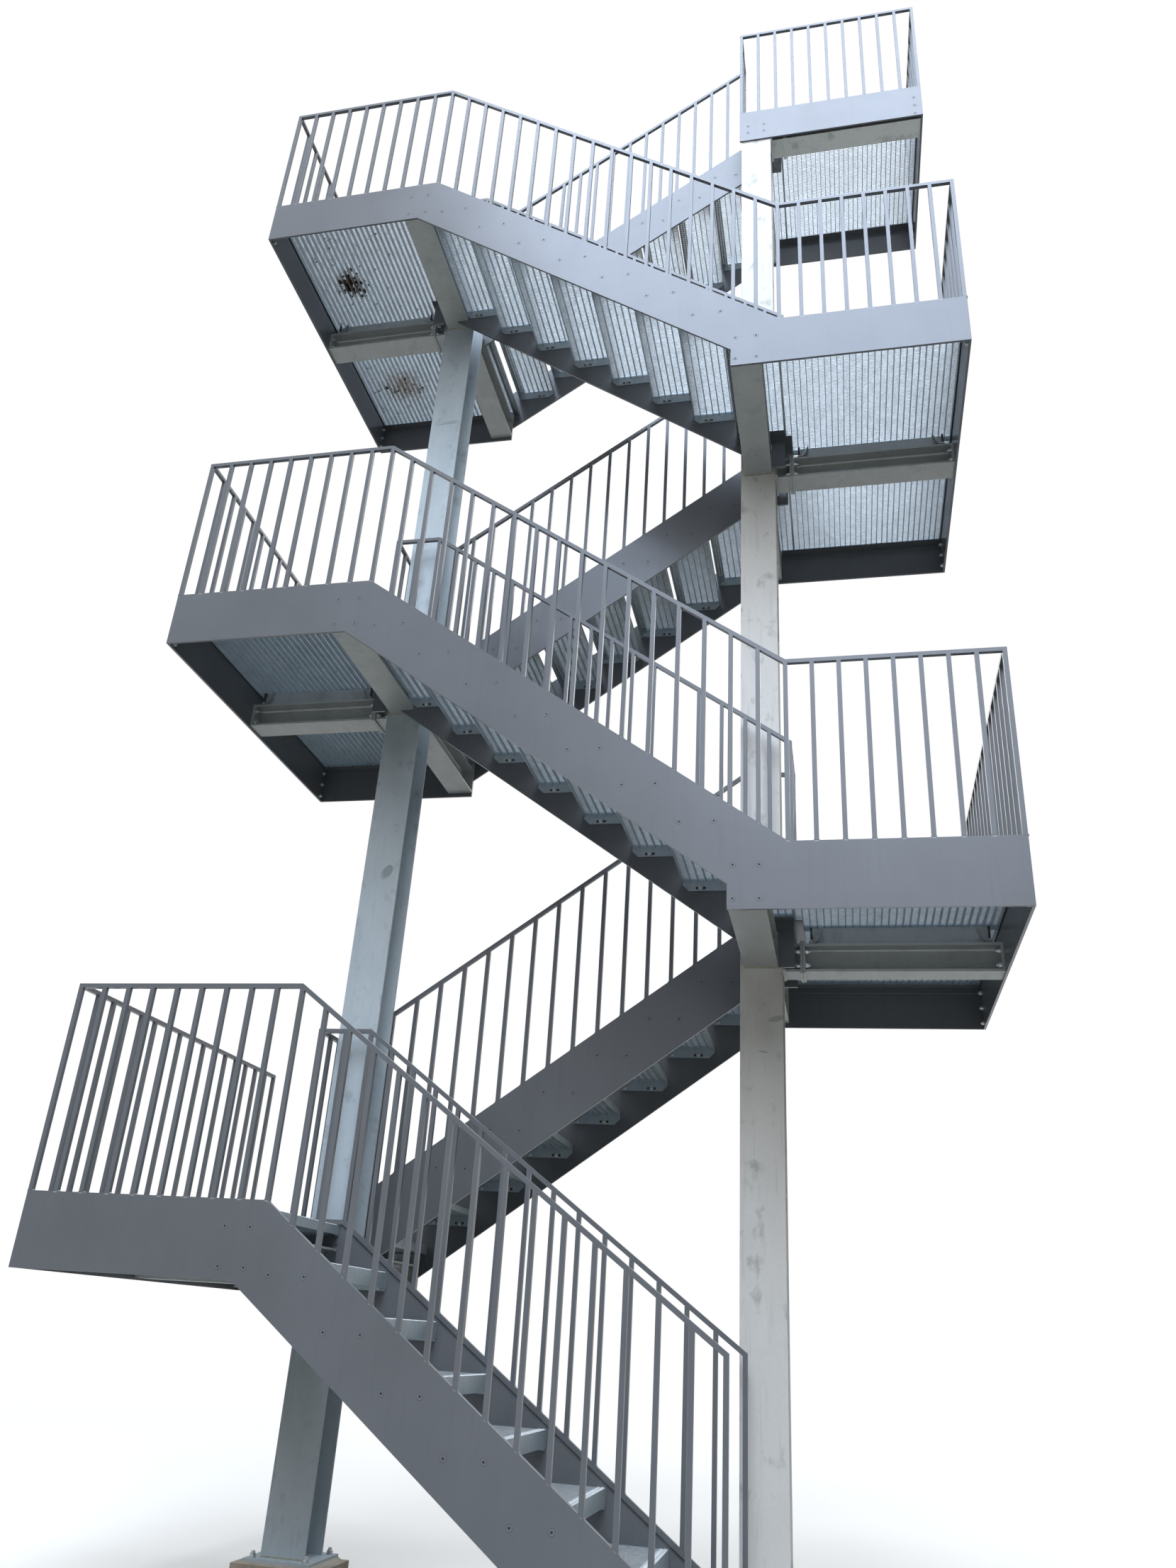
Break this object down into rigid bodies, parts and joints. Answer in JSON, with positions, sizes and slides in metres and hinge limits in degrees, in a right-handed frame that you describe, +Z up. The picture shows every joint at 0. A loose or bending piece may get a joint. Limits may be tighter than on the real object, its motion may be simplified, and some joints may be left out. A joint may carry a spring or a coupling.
{
  "type": "external escape stair",
  "caption": "Steel escape stair: straight flights doubling back between two rows of grated landings, plate stringers, barred railings, two H columns on plinths.",
  "frame": {"origin": "centre of the footprint, at the ground under the plinths and the lowest flight", "axes": "+Z up, +X along the flights towards the landings that the first flight starts under, +Y from the open side to the wall side"},
  "size_m": [4.12, 1.978, 9.913],
  "materials": {
    "painted_plate": "satin",
    "galvanised_column": "matte",
    "galvanised_section": "matte",
    "galvanised_grating": "satin",
    "concrete": "matte"
  },
  "bodies": {
    "root": {"plinths": "concrete", "column_left": "galvanised_column", "column_right": "galvanised_column", "outer_stringer_1": "painted_plate", "outer_stringer_2": "painted_plate", "outer_stringer_3": "painted_plate", "outer_stringer_4": "painted_plate", "outer_stringer_5": "painted_plate", "outer_stringer_6": "painted_plate", "inner_stringers_front": "painted_plate", "inner_stringers_rear": "painted_plate", "well_plates": "painted_plate", "treads_1": "galvanised_grating", "treads_2": "galvanised_grating", "treads_3": "galvanised_grating", "treads_4": "galvanised_grating", "treads_5": "galvanised_grating", "treads_6": "galvanised_grating", "outer_railing_1": "painted_plate", "outer_railing_3": "painted_plate", "outer_railing_5": "painted_plate", "inner_railing_1": "painted_plate", "inner_railing_2": "painted_plate", "inner_railing_3": "painted_plate", "inner_railing_4": "painted_plate", "inner_railing_5": "painted_plate", "inner_railing_6": "painted_plate", "well_railings": "painted_plate", "end_railings_left": "painted_plate", "end_railings_right": "painted_plate", "top_railing": "painted_plate", "end_plates": "painted_plate", "top_fascia": "painted_plate", "landing_beams_1": "galvanised_section", "landing_beams_2": "galvanised_section", "landing_beams_3": "galvanised_section", "landing_beams_4": "galvanised_section", "landing_beams_5": "galvanised_section", "landing_beams_6": "galvanised_section", "landing_grating_1": "galvanised_grating", "landing_grating_2": "galvanised_grating", "landing_grating_3": "galvanised_grating", "landing_grating_4": "galvanised_grating", "landing_grating_5": "galvanised_grating", "landing_grating_6": "galvanised_grating"}
  },
  "joints": []
}
